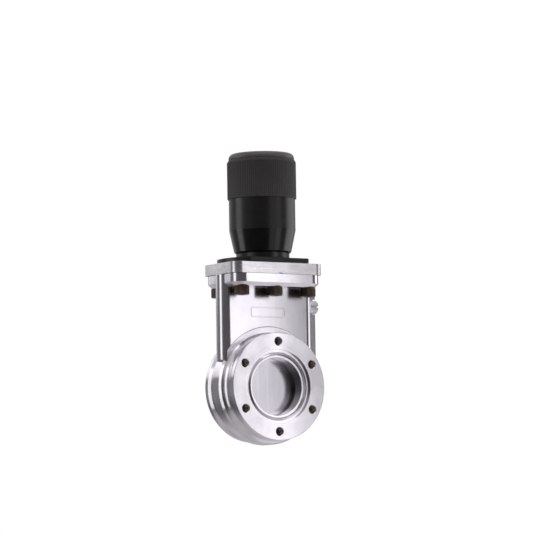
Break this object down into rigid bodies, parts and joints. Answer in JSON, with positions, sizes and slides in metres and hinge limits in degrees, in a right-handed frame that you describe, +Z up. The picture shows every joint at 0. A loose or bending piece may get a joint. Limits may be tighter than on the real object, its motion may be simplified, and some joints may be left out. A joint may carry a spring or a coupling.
{
  "type": "manual gate valve",
  "caption": "Flat high-vacuum gate valve with knife-edge flanges, a tall obround housing, a clamped bonnet and a black handwheel that lifts the gate plate by a screw.",
  "frame": {"origin": "on the port axis, midway between the two flange faces", "axes": "-Y points out of the front flange along the port axis, +Z runs up the stem to the handwheel, +X points to the side with the purge plug"},
  "size_m": [0.0771, 0.0452, 0.1908],
  "materials": {
    "steel_satin": "satin, turned and milled",
    "steel_brushed": "fine straight brushing",
    "steel_screw": "turned, satin",
    "steel_gate": "fine ground",
    "steel_inner": "machined",
    "steel_bearing": "polished bearing steel",
    "steel_spring": "spring steel",
    "black_anodised": "black, satin",
    "black_gloss": "black, high gloss",
    "grip_black": "matt, fine straight knurl",
    "cap_grey": "satin dark grey",
    "bronze": "turned bronze",
    "elastomer": "smooth black",
    "pad_polymer": "self-lubricating polymer"
  },
  "bodies": {
    "valve": {"valve_body": "steel_satin", "purge_plug": "steel_screw", "purge_gasket": "steel_inner", "bonnet_gasket": "elastomer", "bonnet_plate": "steel_brushed", "bonnet_screws": "steel_screw", "guide_bush": "bronze", "bellows_lower_collar": "steel_inner", "bellows": "steel_inner", "base_flange": "black_anodised", "base_screws": "steel_screw", "actuator_tube": "black_anodised", "bearing_carrier": "steel_inner", "carrier_screws": "steel_screw", "bearing_outer_ring": "steel_bearing", "bearing_balls": "steel_bearing", "retaining_ring": "steel_spring"},
    "handwheel": {"handwheel_shell": "black_gloss", "grip_sleeve": "grip_black", "handwheel_cap": "cap_grey", "lead_screw": "steel_inner", "drive_key": "steel_spring", "lock_washer": "steel_spring", "lock_nut": "steel_screw", "bearing_inner_ring": "steel_bearing"},
    "gate": {"stem": "steel_satin", "travelling_nut": "bronze", "guide_pins": "steel_bearing", "bellows_upper_collar": "steel_inner", "gate_carriage": "steel_gate", "cross_pin": "steel_bearing", "lock_balls": "steel_bearing", "leaf_springs": "steel_spring", "spring_rivets": "steel_spring", "guide_pads": "pad_polymer"},
    "front_plate": {"seal_plate": "steel_gate", "gate_seal": "elastomer"},
    "rear_plate": {"counter_plate": "steel_gate"}
  },
  "joints": [
    {"name": "handwheel_turn", "type": "hinge", "parent": "valve", "child": "handwheel", "pos_m": [0, 0, 0.1], "axis": [0, 0, 1], "range_deg": [0, 3960]},
    {"name": "gate_slide", "type": "slide", "parent": "valve", "child": "gate", "axis": [0, 0, 1], "range_m": [0, 0.044], "deforming": ["bellows"]},
    {"name": "front_plate_clamp", "type": "slide", "parent": "gate", "child": "front_plate", "axis": [0, 0.1961, -0.9806], "range_m": [0, 0.00306]},
    {"name": "rear_plate_clamp", "type": "slide", "parent": "gate", "child": "rear_plate", "axis": [0, -0.1961, -0.9806], "range_m": [0, 0.00306]}
  ],
  "couplings": [
    {"joint": "gate_slide", "follows": "handwheel_turn", "m_per_rad": 0.00063662},
    {"joint": "rear_plate_clamp", "follows": "front_plate_clamp", "ratio": 1}
  ]
}
